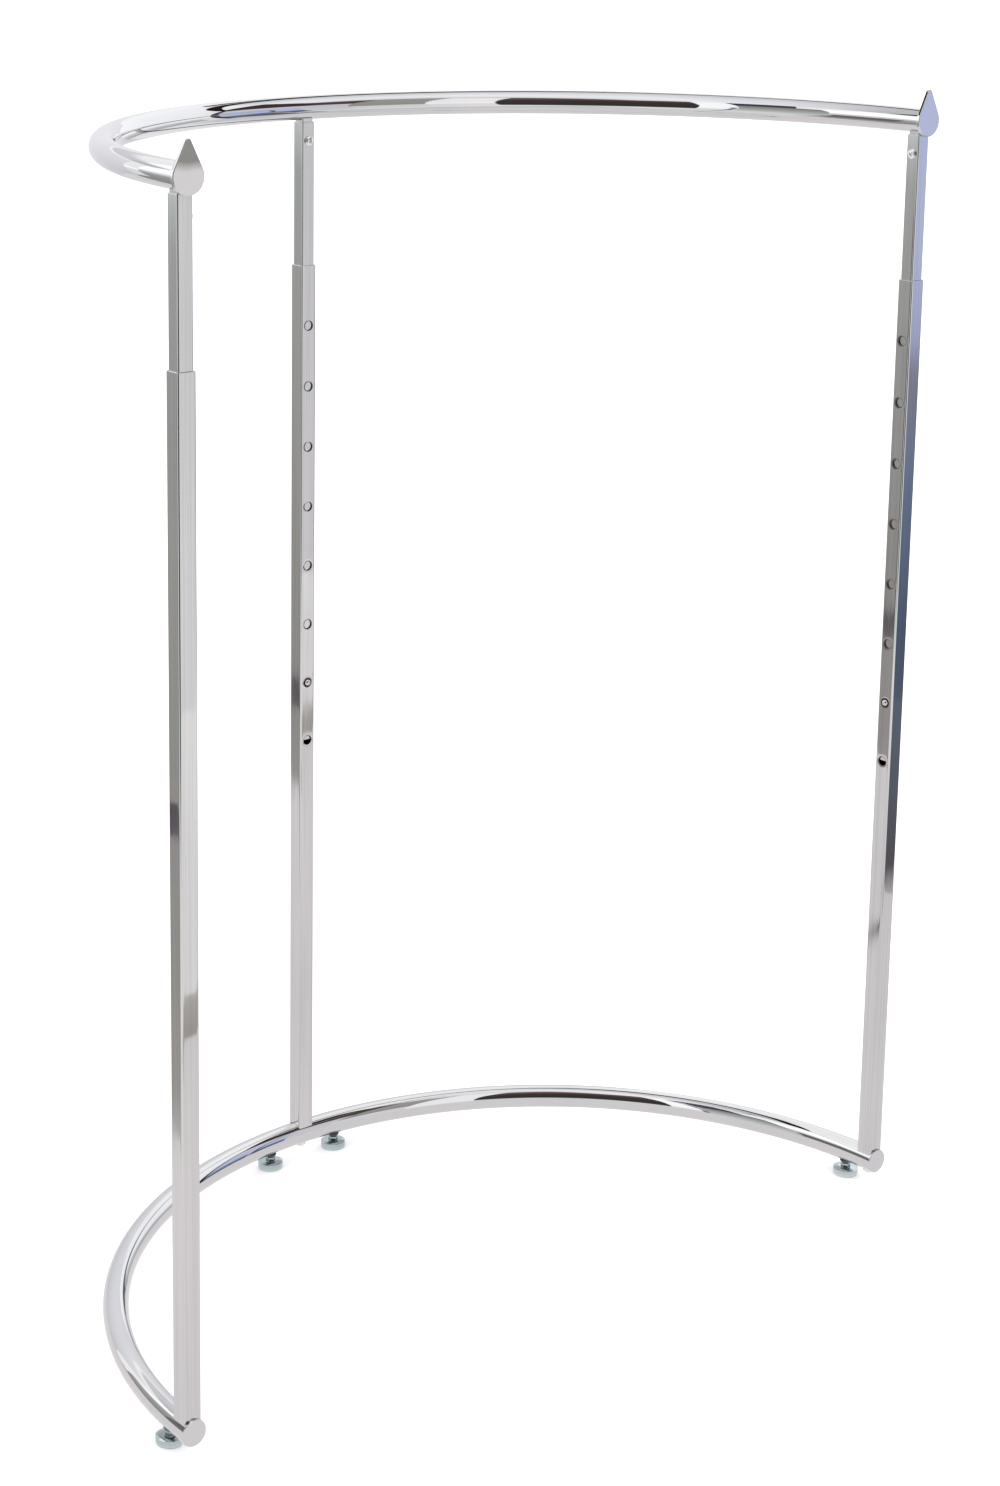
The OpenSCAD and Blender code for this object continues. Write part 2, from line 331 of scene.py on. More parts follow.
def metal(name, dark, light, rough, wave, grain, stretch=(1, 1, 1), streaks=0.0):
    """Plated metal: slow changes of tint from dark to light and of gloss between the two rough values,
    a surface that waves by wave and a grain of depth grain, both in mm. streaks is how much darker the
    marks are that drawing the tube has left along Z."""
    material, nodes, links, shader = new_material(name)
    shader.inputs["Metallic"].default_value = 1
    tint = pattern(nodes, links, TINTS, dark, light, stretch)
    if streaks:
        marks = pattern(nodes, links, DRAWN_MARKS, grey(1 - streaks), grey(1), DRAWN_STRETCH)
        tint = times(nodes, links, tint, marks)
    links.new(tint, shader.inputs["Base Color"])
    gloss = pattern(nodes, links, SMEARS, grey(rough[0]), grey(rough[1]), stretch)
    links.new(gloss, shader.inputs["Roughness"])
    waves = bump(nodes, links, noise(nodes, links, *WAVES, stretch), wave * MM)
    scratches = bump(nodes, links, noise(nodes, links, *GRAIN, stretch), grain * MM, waves)
    links.new(scratches, shader.inputs["Normal"])
    return material


BARE_EDGE_AND_PAINTED_SHADE = "bare_edge_and_painted_shade"


def show_bare_edges_and_painted_shade(material, unplated_and_painted_shade, rough):
    """Shows dark brown on the faces that the mask attribute marks: bare, unplated metal at the punched
    edges, with painted shade in and round the holes.
    """
    nodes, links = material.node_tree.nodes, material.node_tree.links
    shader = nodes["Principled BSDF"]
    marked = nodes.new("ShaderNodeAttribute")
    marked.attribute_name = BARE_EDGE_AND_PAINTED_SHADE
    for name, value in (("Base Color", unplated_and_painted_shade), ("Roughness", grey(rough))):
        plated = shader.inputs[name].links[0].from_socket
        pick = nodes.new("ShaderNodeMix")
        pick.data_type = "RGBA"
        colour_a, colour_b, mixed = pick.inputs[6], pick.inputs[7], pick.outputs[2]
        links.new(marked.outputs["Fac"], pick.inputs["Factor"])
        links.new(plated, colour_a)
        colour_b.default_value = (*value, 1)
        links.new(mixed, shader.inputs[name])


CHROME = metal(
    "bright_chrome", dark=(0.655, 0.665, 0.675), light=(0.70, 0.70, 0.705),
    rough=(0.02, 0.055), wave=0.04, grain=0.0004
)
SQUARE_CHROME = metal(
    "square_tube_chrome", dark=(0.61, 0.62, 0.625), light=(0.735, 0.73, 0.73),
    rough=(0.035, 0.12), wave=0.11, grain=0.0012, stretch=(1, 1, 0.18), streaks=0.08
)
# Punched hole edges in dark brown: bare metal where the plating ends, and painted shade inside the holes
show_bare_edges_and_painted_shade(SQUARE_CHROME, unplated_and_painted_shade=(0.135, 0.098, 0.075), rough=0.45)
PLATE_CHROME = metal(
    "flat_chrome", dark=(0.665, 0.67, 0.675), light=(0.70, 0.70, 0.705),
    rough=(0.01, 0.02), wave=0.03, grain=0.0003
)
ZINC = metal(
    "bright_zinc", dark=(0.42, 0.50, 0.51), light=(0.60, 0.67, 0.68),
    rough=(0.12, 0.26), wave=0.06, grain=0.002
)
SCREW_STEEL = metal(
    "screw_nickel", dark=(0.82, 0.82, 0.81), light=(0.94, 0.93, 0.92),
    rough=(0.28, 0.42), wave=0.03, grain=0.002
)
DARK_STEEL = metal(
    "blackened_steel", dark=(0.09, 0.085, 0.085), light=(0.17, 0.16, 0.16),
    rough=(0.30, 0.45), wave=0.05, grain=0.004
)
SPRING_STEEL = metal(
    "spring_steel", dark=(0.30, 0.31, 0.34), light=(0.45, 0.46, 0.48),
    rough=(0.18, 0.34), wave=0.03, grain=0.003
)


# ---------------------------------------------------------------- half-ring tubes
RING_STEPS, TUBE_STEPS = 220, 72
BOLT_HOLE_R, BUSH_HOLE_R = 4.3 * MM, 5.5 * MM


def ring_tube(name, height):
    """Half ring of round tube with an open bore."""
    bm = bmesh.new()
    sweep = math.pi - END_ANGLE - END_ANGLE
    stations = [at_ring(END_ANGLE + sweep * k / RING_STEPS, height) for k in range(RING_STEPS + 1)]
    skins = []
    for radius in (TUBE_R, TUBE_R - TUBE_WALL):
        spots = [Vector((x, 0, z)) for x, z in circle(radius, TUBE_STEPS)]
        skins.append([[bm.verts.new(place @ spot) for spot in spots] for place in stations])
    outer, inner = skins
    for skin in skins:
        for ring, after in zip(skin, skin[1:]):
            bridge(bm, ring, after)
    for end in (0, -1):
        bridge(bm, outer[end], inner[end])
    return from_bmesh(name, bm)


def drill(node, radius, high):
    """Cutter for a hole from under the base tube up to a height over its middle."""
    place = at_ring(angle_of(node), BASE_Z)
    return prism("cutter", polygon(SMALL_ROUND, 2 * radius), -2 * TUBE_R, high, place)


hang_tube = ring_tube("hanging_rail_tube", RAIL_Z)
finish_piece(smooth(hang_tube), "rail_frame", CHROME, "chrome", "hang_rail")

base_tube = ring_tube("base_rail_tube", BASE_Z)
drills = [drill("upright_" + side, BOLT_HOLE_R, 2 * TUBE_R) for side in SIDES]
drills += [drill("foot_stud_" + foot, BUSH_HOLE_R, 0) for foot in FEET]
carve(base_tube, *drills)
finish_piece(smooth(base_tube), "base_frame", CHROME, "chrome", "base_rail")


# ---------------------------------------------------------------- square tubes
FLAT_STEPS, CORNER_STEPS, HOLE_RINGS = 12, 8, 3
# How far round a hole the punch has dished the wall, and how far round it the plating has worn away, shown
# dark brown with painted shade
DISH_REACH, BARE_AND_PAINTED_SHADE_RIM = 2.2 * MM, 0.7 * MM
SEAT_ROW, CUT_EDGE = 6 * MM, 0.42 * MM


def square_loop(side, corner):
    """Points round a rounded square, starting along the side that faces the arc's centre."""
    flat = side / 2 - corner
    points = []
    for quarter in range(4):
        turn = Matrix.Rotation(quarter * math.pi / 2, 2)
        for k in range(FLAT_STEPS):
            points.append(turn @ Vector((-side / 2, flat - 2 * flat * k / FLAT_STEPS)))
        for k in range(CORNER_STEPS):
            a = math.pi + k / CORNER_STEPS * math.pi / 2
            points.append(turn @ Vector((-flat + corner * math.cos(a), -flat + corner * math.sin(a))))
    return points


def saddle(x, y):
    """Height of a ring tube's surface above its axis plane, over a point in the ring frame."""
    off_axis = math.hypot(RING_R + x, y) - RING_R
    return math.sqrt((TUBE_R + GAP) ** 2 - off_axis ** 2)


def mark_bare_edges_and_painted_shade(piece, side, wall, holes):
    """Marks the faces in and round each punched hole, where the plating ends and shade is painted in dark
    brown.
    """
    marks = piece.data.attributes.new(BARE_EDGE_AND_PAINTED_SHADE, "FLOAT", "FACE")
    for face, mark in zip(piece.data.polygons, marks.data):
        x, y, z = face.center
        near = any(math.hypot(y, z - height) < radius + BARE_AND_PAINTED_SHADE_RIM for height, radius in holes)
        mark.value = float(near and x < wall - side / 2 + BARE_AND_PAINTED_SHADE_RIM)


def hole_rim(bm, border, side, height, radius, reach, dish):
    """Rings of faces from a square border in to a round hole, pressed in by dish at its edge."""
    rims = [border]
    for step in range(HOLE_RINGS, -1, -1):
        share = step / HOLE_RINGS
        rim = []
        for vertex in border:
            away = Vector((vertex.co.y, vertex.co.z - height)).normalized() * (radius + reach * share)
            rim.append(bm.verts.new((dish * (1 - share) ** 2 - side / 2, away.x, height + away.y)))
        rims.append(rim)
    for outside, inside in zip(rims, rims[1:]):
        bridge(bm, outside, inside)


def looks_outwards(bm):
    """Whether the faces of a shell along Z look away from its axis."""
    total = 0
    for face in bm.faces:
        centre = face.calc_center_median()
        total += face.normal.dot(Vector((centre.x, centre.y, 0)))
    return total > 0


def square_tube(
    name, place, low, high, side, corner, wall, holes=(), dish=0.0, seat_low=None, seat_high=None
):
    """Square tube along Z with round holes, (height, radius), in the side that faces the arc's centre.
    dish is how far the punch has pressed the wall in at a hole's edge; seat_low and seat_high are the
    ring tube heights that an end is cut to sit on."""
    bm = bmesh.new()
    loop = square_loop(side, corner)
    flat, half_steps = side / 2 - corner, FLAT_STEPS // 2
    rows = [low, high]
    for height, _ in holes:
        rows += [height + flat * k / half_steps for k in range(-half_steps, half_steps + 1)]
    if seat_low is not None:
        rows.append(low + SEAT_ROW)
    rows.sort()
    grid = [[bm.verts.new((x, y, height)) for x, y in loop] for height in rows]
    for row, seat, way in ((grid[0], seat_low, 1), (grid[-1], seat_high, -1)):
        if seat is not None:
            for vertex in row:
                vertex.co.z = seat + way * saddle(vertex.co.x, vertex.co.y)

    for row in range(len(rows) - 1):
        centre = (rows[row] + rows[row + 1]) / 2
        beside_hole = any(abs(centre - height) < flat for height, _ in holes)
        for k in range(FLAT_STEPS if beside_hole else 0, len(loop)):
            n = (k + 1) % len(loop)
            bm.faces.new((grid[row][k], grid[row][n], grid[row + 1][n], grid[row + 1][k]))
    for height, radius in holes:
        first = min(range(len(rows)), key=lambda i: abs(rows[i] - (height - flat)))
        last = first + FLAT_STEPS
        border = [grid[first][k] for k in range(FLAT_STEPS)]
        border += [grid[row][FLAT_STEPS] for row in range(first, last)]
        border += [grid[last][k] for k in range(FLAT_STEPS, 0, -1)]
        border += [grid[row][0] for row in range(last, first, -1)]
        hole_rim(bm, border, side, height, radius, min(DISH_REACH, flat - radius - 2 * GAP), dish)
    bmesh.ops.recalc_face_normals(bm, faces=bm.faces)
    if not looks_outwards(bm):
        bmesh.ops.reverse_faces(bm, faces=bm.faces)
    mesh = bpy.data.meshes.new(name)
    bm.to_mesh(mesh)
    bm.free()
    piece = to_object(name, mesh)
    shell = piece.modifiers.new("wall", "SOLIDIFY")
    shell.thickness = wall
    shell.offset = -1
    settle(piece)
    round_edges(piece, CUT_EDGE)
    mark_bare_edges_and_painted_shade(piece, side, wall, holes)
    piece.data.transform(place)
    return piece


UPRIGHT = {"side": 19 * MM, "corner": 2 * MM, "wall": 1.25 * MM}
MAST = {"side": 16 * MM, "corner": 1.8 * MM, "wall": 1.2 * MM}
SPIGOT = {"side": 13.4 * MM, "corner": 1.2 * MM, "wall": 1.6 * MM}
HOLE_COUNT, HOLE_PITCH, HOLE_R, HOLE_DISH = 8, 65.2 * MM, 4.75 * MM, 0.16 * MM
BUTTON_HOLE_R, SCREW_HOLE_R, SPIGOT_HOLE_R = 3.9 * MM, 2.7 * MM, 2.45 * MM
# The buttons stand in the seventh hole from the top
HOLES_OVER_BUTTON = 6
LOCK_Z = middle("snap_button_left").z
SCREW_Z = middle("mast_screw_left").z
FIRST_HOLE = LOCK_Z + HOLES_OVER_BUTTON * HOLE_PITCH

for side in SIDES:
    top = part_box("upright_" + side)[1].z
    place = at_ring(angle_of("upright_" + side), 0)
    lock_holes = [(FIRST_HOLE - k * HOLE_PITCH, HOLE_R) for k in range(HOLE_COUNT)]
    upright = square_tube(
        "upright_tube_" + side, place, BASE_Z + TUBE_R, top, **UPRIGHT,
        holes=lock_holes, dish=HOLE_DISH, seat_low=BASE_Z
    )
    finish_piece(smooth(upright), "base_frame", SQUARE_CHROME, "chrome", "upright_" + side)

    low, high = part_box("mast_" + side)
    mast_holes = [(LOCK_Z, BUTTON_HOLE_R), (SCREW_Z, SCREW_HOLE_R)]
    mast = square_tube("mast_tube_" + side, place, low.z, high.z, **MAST, holes=mast_holes)
    finish_piece(smooth(mast), "rail_frame", SQUARE_CHROME, "chrome", "mast_" + side)

    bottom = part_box("spigot_" + side)[0].z
    stub = square_tube(
        "spigot_tube_" + side, place, bottom, RAIL_Z - TUBE_R, **SPIGOT,
        holes=[(SCREW_Z, SPIGOT_HOLE_R)], seat_high=RAIL_Z
    )
    finish_piece(smooth(stub), "rail_frame", SQUARE_CHROME, "chrome", "spigot_" + side)


# ---------------------------------------------------------------- stop plates and base caps
PLATE_R, PLATE_TIP, TIP_R, TIP_STEPS = 16 * MM, 32 * MM, 3.4 * MM, 24
PLATE_THICK, PLATE_EDGE, PLATE_EDGE_STEPS, PLATE_PLUG = 4 * MM, 0.9 * MM, 5, 14 * MM
PLUG_R, PLUG_BORE, PLUG_EDGE = TUBE_R - TUBE_WALL - 0.5 * MM, TUBE_R - TUBE_WALL - 2.5 * MM, 0.4 * MM
CAP_R, CAP_THICK, CAP_PLUG = 13.1 * MM, 2 * MM, 4 * MM
CAP_INNER_EDGE, CAP_OUTER_EDGE = 0.3 * MM, 0.7 * MM


def end_frame(side, height):
    """Frame at a tube's end: Z into the tube, Y up."""
    stand_up = Matrix.Rotation(math.pi / 2, 4, "X")
    if side == "right":
        return at_ring(END_ANGLE, height) @ Matrix.Rotation(math.pi, 4, "Z") @ stand_up
    return at_ring(math.pi - END_ANGLE, height) @ stand_up


def drop_outline():
    """Round plate whose tangents run up to a small round tip."""
    tip_y = PLATE_TIP - TIP_R
    lean = math.asin((PLATE_R - TIP_R) / tip_y)
    outline = arc(PLATE_R, math.pi - lean, math.pi + 2 * lean, WIDE_ROUND)
    return outline + arc(TIP_R, lean, math.pi - 2 * lean, TIP_STEPS, tip_y)


def end_plug(place, thickness, length):
    """Stub that holds a plate or cap in the tube's end."""
    outline = with_fillets([
        (PLUG_BORE, -thickness / 2, 0), (PLUG_R, -thickness / 2, 0),
        (PLUG_R, length, PLUG_EDGE), (PLUG_BORE, length, PLUG_EDGE)
    ])
    return lathe("plug", outline, place)


for side in ("left", "right"):
    place = end_frame(side, RAIL_Z)
    plate = prism("stop_plate_face_" + side, drop_outline(), -PLATE_THICK, 0, place)
    round_edges(plate, PLATE_EDGE, segments=PLATE_EDGE_STEPS)
    join(plate, end_plug(place, PLATE_THICK, PLATE_PLUG))
    finish_piece(smooth(plate), "rail_frame", PLATE_CHROME, "chrome", "stop_plate_" + side)

    place = end_frame(side, BASE_Z)
    disc = with_fillets([
        (0, 0, 0), (CAP_R, 0, CAP_INNER_EDGE), (CAP_R, -CAP_THICK, CAP_OUTER_EDGE), (0, -CAP_THICK, 0)
    ])
    cap = lathe("base_cap_disc_" + side, disc, place, WIDE_ROUND)
    join(cap, end_plug(place, CAP_THICK, CAP_PLUG))
    finish_piece(smooth(cap), "base_frame", CHROME, "chrome", "base_cap_" + side)


# ---------------------------------------------------------------- screws, bolts and buttons
SCREW_HEAD_R, SCREW_RIM, SCREW_HEIGHT, SCREW_EDGE = 4.9 * MM, 1.4 * MM, 3.4 * MM, 0.2 * MM
SCREW_SHANK_R, SCREW_LENGTH, SCREW_TAPER = 2.4 * MM, 9 * MM, 0.4 * MM
SCREW_SEAT = MAST["side"] / 2 + GAP
# Cross recess: height over the head's seat, length and width, at its bottom and over the head
RECESS, RECESS_TURNS = ((1.4 * MM, 3.2 * MM, 0.9 * MM), (4.6 * MM, 6.6 * MM, 1.7 * MM)), (45, 135)
NOSE_R, NOSE_REACH, NOSE_STEPS = 3.7 * MM, 12.3 * MM, 12
FLANGE_R, FLANGE_FRONT, FLANGE_THICK = 5 * MM, 6.7 * MM, 1.1 * MM
BOLT_HEAD_R, BOLT_RIM, BOLT_HEIGHT, BOLT_EDGE = 5.3 * MM, 1.8 * MM, 4.6 * MM, 0.3 * MM
BOLT_INNER_R, BOLT_SEAT, BOLT_SHANK_R = 5.1 * MM, -1.5 * MM, 3.9 * MM
BOLT_END, BOLT_TAPER = -46.4 * MM, 0.6 * MM
SOCKET_FLATS, SOCKET_FLOOR, SOCKET_TOP = 5 * MM, 2 * MM, 6 * MM


def dome(radius, rim, height, steps=14):
    """Outline of a domed head, from its axis at the top out and down to the rim."""
    crown = height - rim
    ball = (radius ** 2 + crown ** 2) / (2 * crown)
    spread = [radius * math.sin(k / steps * math.pi / 2) for k in range(steps + 1)]
    return [(r, height - ball + math.sqrt(ball ** 2 - r ** 2)) for r in spread]


def recess_blade(place):
    """Cutter for one bar of the cross recess, which narrows towards its bottom."""
    bm = bmesh.new()
    rings = []
    for z, length, width in RECESS:
        corners = ((-1, -1), (1, -1), (1, 1), (-1, 1))
        rings.append([bm.verts.new((x * length / 2, y * width / 2, z)) for x, y in corners])
    loft(bm, rings)
    return from_bmesh("cutter", bm, place)


for side in SIDES:
    # Cross-head screw through the mast's wall into the spigot
    place = at_ring(angle_of("mast_" + side), SCREW_Z) @ FACE_IN @ Matrix.Translation((0, 0, SCREW_SEAT))
    outline = dome(SCREW_HEAD_R, SCREW_RIM, SCREW_HEIGHT) + [
        (SCREW_HEAD_R, SCREW_EDGE), (SCREW_HEAD_R - SCREW_EDGE, 0), (SCREW_SHANK_R, 0),
        (SCREW_SHANK_R, SCREW_TAPER - SCREW_LENGTH), (SCREW_SHANK_R - SCREW_TAPER, -SCREW_LENGTH),
        (0, -SCREW_LENGTH)
    ]
    screw = lathe("mast_screw_head_" + side, outline, place)
    carve(screw, *[recess_blade(place @ Matrix.Rotation(math.radians(a), 4, "Z")) for a in RECESS_TURNS])
    finish_piece(smooth(screw, sharp=SCREW_CRISP), "rail_frame", SCREW_STEEL, "zinc", "mast_screw_" + side)

    # Snap button: flange inside the mast, and a domed nose through both walls
    place = at_ring(angle_of("mast_" + side), LOCK_Z) @ FACE_IN
    turn = [k / NOSE_STEPS * math.pi / 2 for k in range(NOSE_STEPS + 1)]
    outline = [(NOSE_R * math.sin(a), NOSE_REACH - NOSE_R + NOSE_R * math.cos(a)) for a in turn]
    outline += [
        (NOSE_R, FLANGE_FRONT), (FLANGE_R, FLANGE_FRONT),
        (FLANGE_R, FLANGE_FRONT - FLANGE_THICK), (0, FLANGE_FRONT - FLANGE_THICK)
    ]
    button = lathe("snap_button_nose_" + side, outline, place, SMALL_ROUND)
    finish_piece(smooth(button), "button_" + side, CHROME, "chrome", "snap_button_" + side)

    # Hexagon-socket bolt up through the base tube, drawn with its head up and turned over
    place = at_ring(angle_of("upright_" + side), UNDERSIDE) @ Matrix.Rotation(math.pi, 4, "X")
    outline = dome(BOLT_HEAD_R, BOLT_RIM, BOLT_HEIGHT) + [
        (BOLT_HEAD_R, BOLT_EDGE), (BOLT_INNER_R, BOLT_SEAT), (BOLT_SHANK_R, BOLT_SEAT),
        (BOLT_SHANK_R, BOLT_END + BOLT_TAPER), (BOLT_SHANK_R - BOLT_TAPER, BOLT_END), (0, BOLT_END)
    ]
    bolt = lathe("base_bolt_head_" + side, outline, place)
    carve(bolt, prism("cutter", polygon(6, SOCKET_FLATS), SOCKET_FLOOR, SOCKET_TOP, place))
    finish_piece(smooth(bolt, sharp=SCREW_CRISP), "base_frame", SCREW_STEEL, "zinc", "base_bolt_" + side)


# ---------------------------------------------------------------- levelling feet
LEAD, STUD_R, THREAD_DEPTH, THREAD_SLACK = 1.25 * MM, 4 * MM, 0.62 * MM, 0.1 * MM
THREAD_AROUND, THREAD_ROWS, THREAD_SLOPE, THREAD_ROOT = 36, 8, 2.6, 0.25
PAD_SIDE, PAD_EDGE, PAD_NECK_R, PAD_DOME_STEPS = 7 * MM, 0.8 * MM, 6 * MM, 16
PAD_HOLE_R, PAD_HOLE_FLOOR, PAD_HOLE_EDGE = 4.08 * MM, 3.6 * MM, 0.4 * MM
NECK_FLATS, NECK_LOW, NECK_HIGH, NECK_EDGE = 9.6 * MM, 9.2 * MM, 12.6 * MM, 0.35 * MM
COLLAR_R, COLLAR_DROP, COLLAR_EDGE = 6.4 * MM, 1.6 * MM, 0.4 * MM
BUSH_R, BUSH_BORE, BUSH_TOP, BUSH_EDGE = 5.45 * MM, 4.06 * MM, 5 * MM, 0.3 * MM


def threaded_rod(name, low, high, place):
    """Rod with a true helical thread that runs out at both ends."""
    bm = bmesh.new()
    rows = int((high - low) / LEAD * THREAD_ROWS)
    rings = []
    for i in range(rows + 1):
        z = low + (high - low) * i / rows
        fade = min(1, i / THREAD_ROWS, (rows - i) / THREAD_ROWS)
        ring = []
        for k in range(THREAD_AROUND):
            phase = (z / LEAD - k / THREAD_AROUND) % 1
            crest = min(1, max(0, THREAD_SLOPE * abs(phase - 0.5) - THREAD_ROOT))
            radius = STUD_R - THREAD_DEPTH * (1 - crest * fade) - THREAD_SLACK
            a = 2 * math.pi * k / THREAD_AROUND
            ring.append(bm.verts.new((radius * math.cos(a), radius * math.sin(a), z)))
        rings.append(ring)
    loft(bm, rings)
    return from_bmesh(name, bm, place)


def pad_outline(pad_r, top):
    """Flat-bottomed pad with a low dome, and a blind hole for the stud in its top."""
    span, rise = pad_r - PAD_NECK_R, top - PAD_SIDE
    ball = (span ** 2 + rise ** 2) / (2 * rise)
    corners = [(0, 0, 0), (pad_r, 0, PAD_EDGE)]
    for k in range(PAD_DOME_STEPS + 1):
        r = pad_r - span * math.sin(k / PAD_DOME_STEPS * math.pi / 2)
        corners.append((r, top - ball + math.sqrt(ball ** 2 - (r - PAD_NECK_R) ** 2), 0))
    corners += [(PAD_HOLE_R, top, PAD_HOLE_EDGE), (PAD_HOLE_R, PAD_HOLE_FLOOR, 0), (0, PAD_HOLE_FLOOR, 0)]
    return with_fillets(corners)


bush_outline = with_fillets([
    (BUSH_BORE, BUSH_TOP, BUSH_EDGE), (BUSH_BORE, -COLLAR_DROP, BUSH_EDGE),
    (COLLAR_R, -COLLAR_DROP, COLLAR_EDGE), (COLLAR_R, 0, 0), (BUSH_R, 0, 0), (BUSH_R, BUSH_TOP, BUSH_EDGE)
])
for foot in FEET:
    angle = angle_of("foot_stud_" + foot)
    place = at_ring(angle, 0)
    low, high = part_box("foot_pad_" + foot)
    outline = pad_outline((high.x - low.x) / 2, high.z)
    pad = lathe("foot_pad_disc_" + foot, outline, place, WIDE_ROUND)
    finish_piece(smooth(pad), "pad_" + foot, ZINC, "zinc", "foot_pad_" + foot)

    low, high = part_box("foot_stud_" + foot)
    rod = threaded_rod("foot_stud_thread_" + foot, low.z, high.z, place)
    neck = prism("neck", polygon(6, NECK_FLATS), NECK_LOW, NECK_HIGH, place)
    round_edges(neck, NECK_EDGE)
    join(rod, neck)
    finish_piece(smooth(rod, sharp=SCREW_CRISP), "stud_" + foot, ZINC, "zinc", "foot_stud_" + foot)

    bush = lathe("foot_bush_collar_" + foot, bush_outline, at_ring(angle, UNDERSIDE))
    finish_piece(smooth(bush), "base_frame", DARK_STEEL, "dark_steel", "foot_bush_" + foot)


# ---------------------------------------------------------------- spring clips
CLIP_R, CLIP_THICK, CLIP_WIDTH, CLIP_EDGE = 5.8 * MM, 0.6 * MM, 9 * MM, 0.12 * MM
CLIP_ABOVE, CLIP_BELOW, CLIP_SHIFT = 9 * MM, 42 * MM, 0.6 * MM


def clip_line(leg_steps=36, bend_steps=24):
    """Middle line of the U-shaped strip with its outward direction: front leg down, bend, back leg up."""
    leg = [CLIP_ABOVE - (CLIP_ABOVE + CLIP_BELOW) * k / leg_steps for k in range(leg_steps + 1)]
    line = [(Vector((-CLIP_R, 0, z)), Vector((-1, 0, 0))) for z in leg]
    for k in range(1, bend_steps):
        a = math.pi + math.pi * k / bend_steps
        away = Vector((math.cos(a), 0, math.sin(a)))
        line.append((away * CLIP_R - Vector((0, 0, CLIP_BELOW)), away))
    line += [(Vector((CLIP_R, 0, z)), Vector((1, 0, 0))) for z in reversed(leg)]
    return line


def clip_strip(name, place):
    """U-shaped strip of spring steel."""
    bm = bmesh.new()
    across, rings = Vector((0, CLIP_WIDTH / 2, 0)), []
    for point, away in clip_line():
        point.x += CLIP_SHIFT
        off = away * CLIP_THICK / 2
        corners = ((1, 1), (1, -1), (-1, -1), (-1, 1))
        rings.append([bm.verts.new(point + a * off + b * across) for a, b in corners])
    loft(bm, rings)
    return round_edges(from_bmesh(name, bm, place), CLIP_EDGE)


for side in SIDES:
    place = at_ring(angle_of("upright_" + side), LOCK_Z)
    clip = smooth(clip_strip("clip_spring_leaf_" + side, place))
    set_material(clip, SPRING_STEEL)
    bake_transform(clip)
    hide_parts("clip_spring_" + side)


# ---------------------------------------------------------------- carried-over CAD nodes
for side in SIDES:
    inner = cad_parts["upright_plug_" + side]
    set_material(inner, ZINC)


# ---------------------------------------------------------------- studio
CHROME_TINT = 0.68


def seen(red, green, blue):
    """Emission that bright chrome shows as this display colour (0 to 1)."""
    shares = [((v + 0.055) / 1.055) ** 2.4 if v > 0.04 else v / 12.92 for v in (red, green, blue)]
    return tuple(v / CHROME_TINT for v in shares)


def glow(name, rise, across=()):
    """Emission that changes up a card by rise and is tinted across it by across, as (share, colour)
    stops."""
    material = bpy.data.materials.new(name)
    material.use_nodes = True
    nodes, links = material.node_tree.nodes, material.node_tree.links
    nodes.clear()
    out = nodes.new("ShaderNodeOutputMaterial")
    light = nodes.new("ShaderNodeEmission")
    place = nodes.new("ShaderNodeTexCoord")
    split = nodes.new("ShaderNodeSeparateXYZ")
    links.new(place.outputs["Generated"], split.inputs["Vector"])
    colour = ramp(nodes, links, split.outputs["Y"], rise)
    if across:
        colour = times(nodes, links, colour, ramp(nodes, links, split.outputs["X"], across))
    links.new(colour, light.inputs["Color"])
    links.new(light.outputs["Emission"], out.inputs["Surface"])
    return material


def card(name, width, height, place, rise, across=()):
    """Flat glowing card, lower edge on its origin, that only reflections see."""
    bm = bmesh.new()
    corners = ((-width / 2, 0, 0), (width / 2, 0, 0), (width / 2, height, 0), (-width / 2, height, 0))
    bm.faces.new([bm.verts.new(corner) for corner in corners])
    mesh = bpy.data.meshes.new(name)
    bm.to_mesh(mesh)
    bm.free()
    made = to_object(name, mesh)
    made.matrix_world = place
    set_material(made, glow(name + "_glow", rise, across))
    for ray in ("camera", "diffuse", "transmission", "volume_scatter", "shadow"):
        setattr(made, "visible_" + ray, False)


def standing(name, left, right, low, high, rise, across=()):
    """Upright card over the plan line from left to right; rise stops are (height, display colour)."""
    left, right = Vector((*left, low)), Vector((*right, low))
    along = (right - left).normalized()
    turn = Matrix((along, (0, 0, 1), along.cross((0, 0, 1)))).transposed().to_4x4()
    stops = [((height - low) / (high - low), seen(*colour)) for height, colour in rise]
    place = Matrix.Translation((left + right) / 2) @ turn
    card(name, (right - left).length, high - low, place, stops, across)


def lying(name, low, high, level, rise):
    """Level card between two plan corners; rise stops run along +Y, as shares of its length."""
    stops = [(share, seen(*colour)) for share, colour in rise]
    place = Matrix.Translation(((low[0] + high[0]) / 2, low[1], level))
    card(name, high[0] - low[0], high[1] - low[1], place, stops)


ROOM_TOP, CANOPY_Z = 4.4, 2.02
FLOOR_Z, FRONT_Z, PAPER_Z = 0.001, 0.002, 0.003
PALE_FLOOR = (0.80, 0.785, 0.79)

